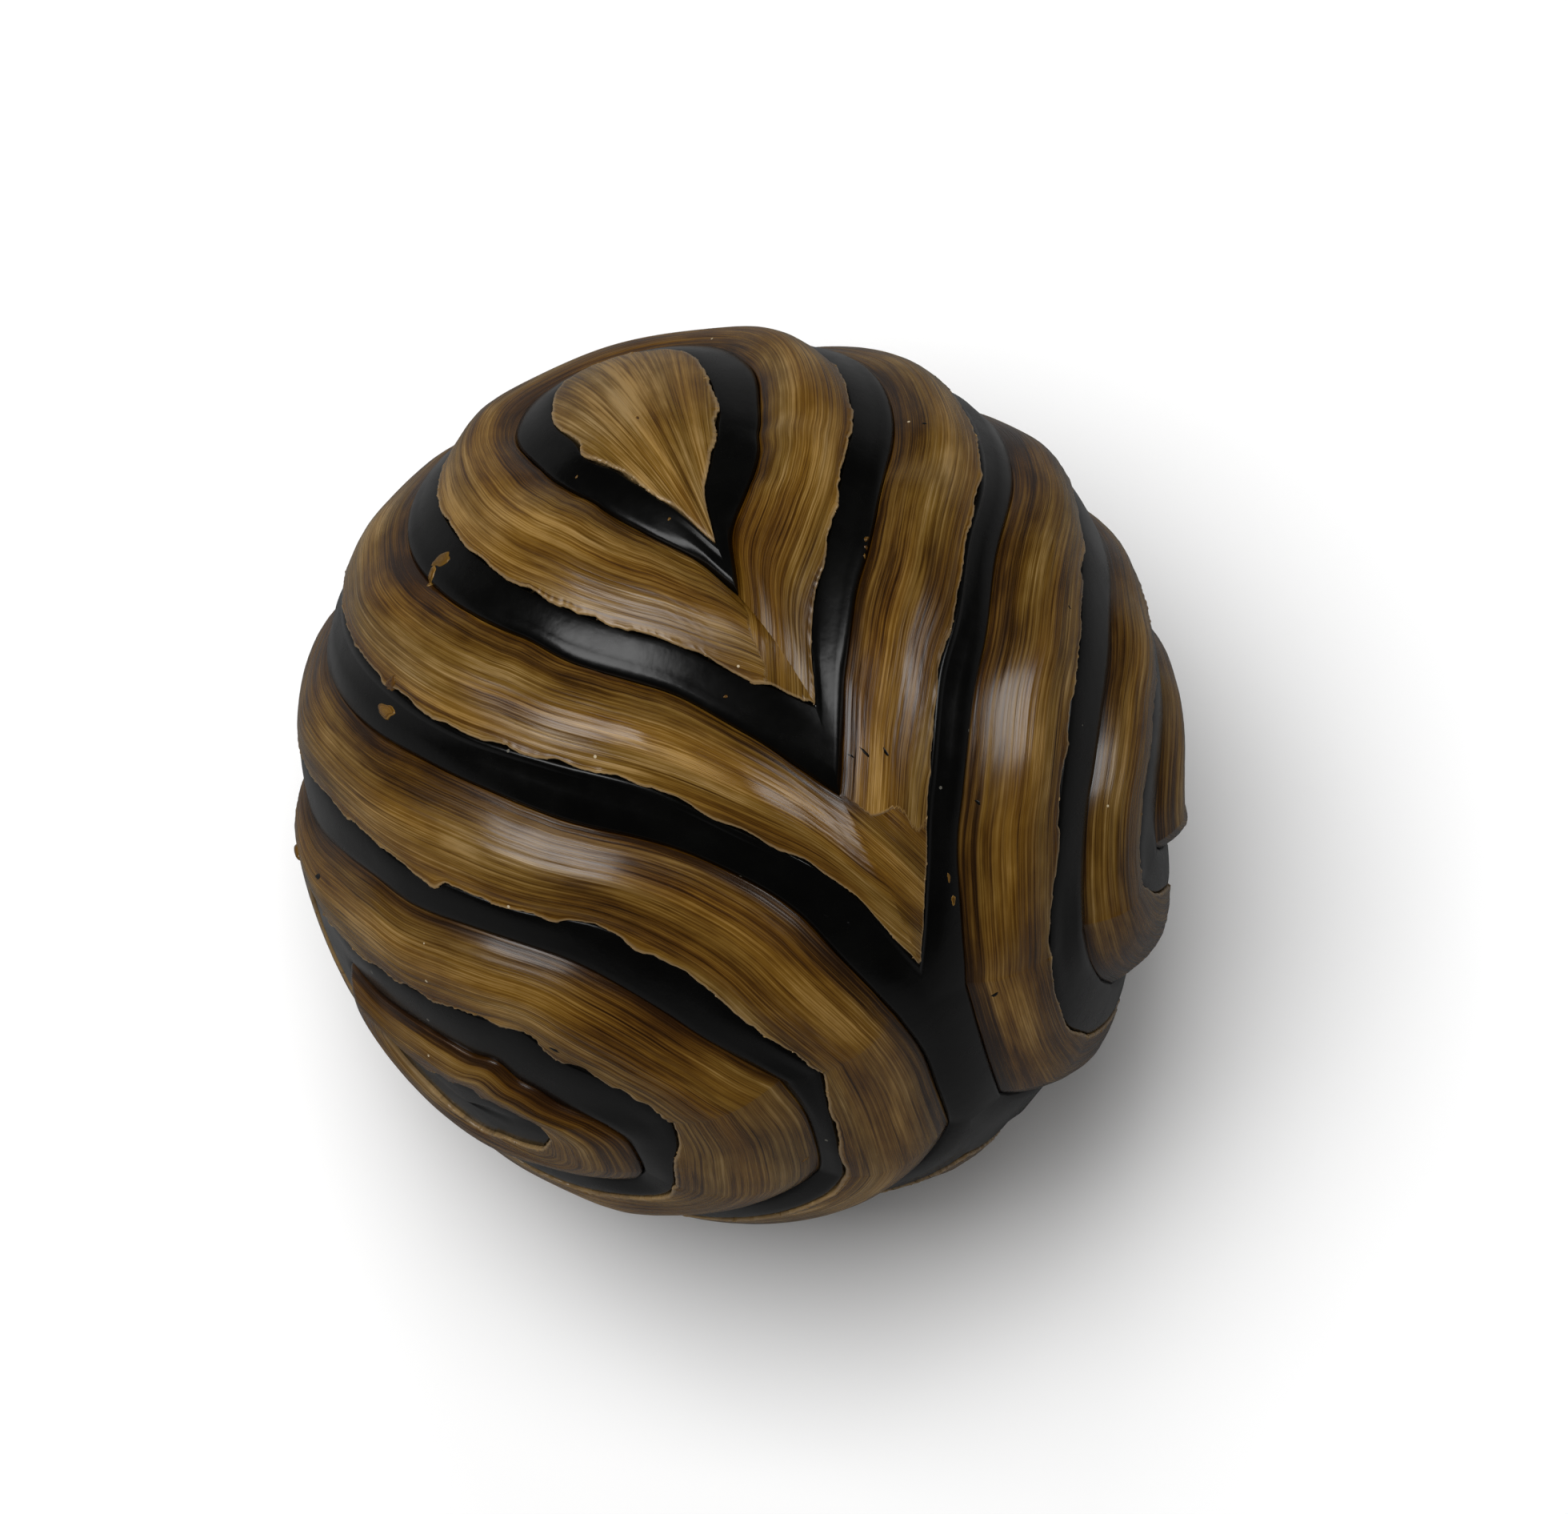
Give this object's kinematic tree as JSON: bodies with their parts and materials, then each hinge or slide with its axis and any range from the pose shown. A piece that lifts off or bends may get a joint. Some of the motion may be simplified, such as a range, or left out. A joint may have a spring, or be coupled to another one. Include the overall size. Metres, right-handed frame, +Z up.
{
  "type": "decorative ball",
  "caption": "Solid ball with a smooth black body and thick wood-effect bands that run round it in nested pointed waves, standing slightly proud of the black ridges between them",
  "frame": {"origin": "centre of the ball", "axes": "+Z up, with the heart-shaped patch of the crown leaning towards +Y and the point where the crown, left and right cells meet towards -Y and a little +X"},
  "size_m": [0.0914, 0.0915, 0.092],
  "materials": {
    "body": "satin",
    "band": "satin"
  },
  "bodies": {
    "root": {"ball_body": "body", "crown_heart": "band", "crown_inner_band": "band", "crown_outer_band": "band", "left_inner_band": "band", "left_middle_band": "band", "left_outer_band": "band", "right_inner_band": "band", "right_middle_band": "band", "right_outer_band": "band", "base_heart": "band", "base_inner_band": "band", "base_outer_band": "band"}
  },
  "joints": []
}
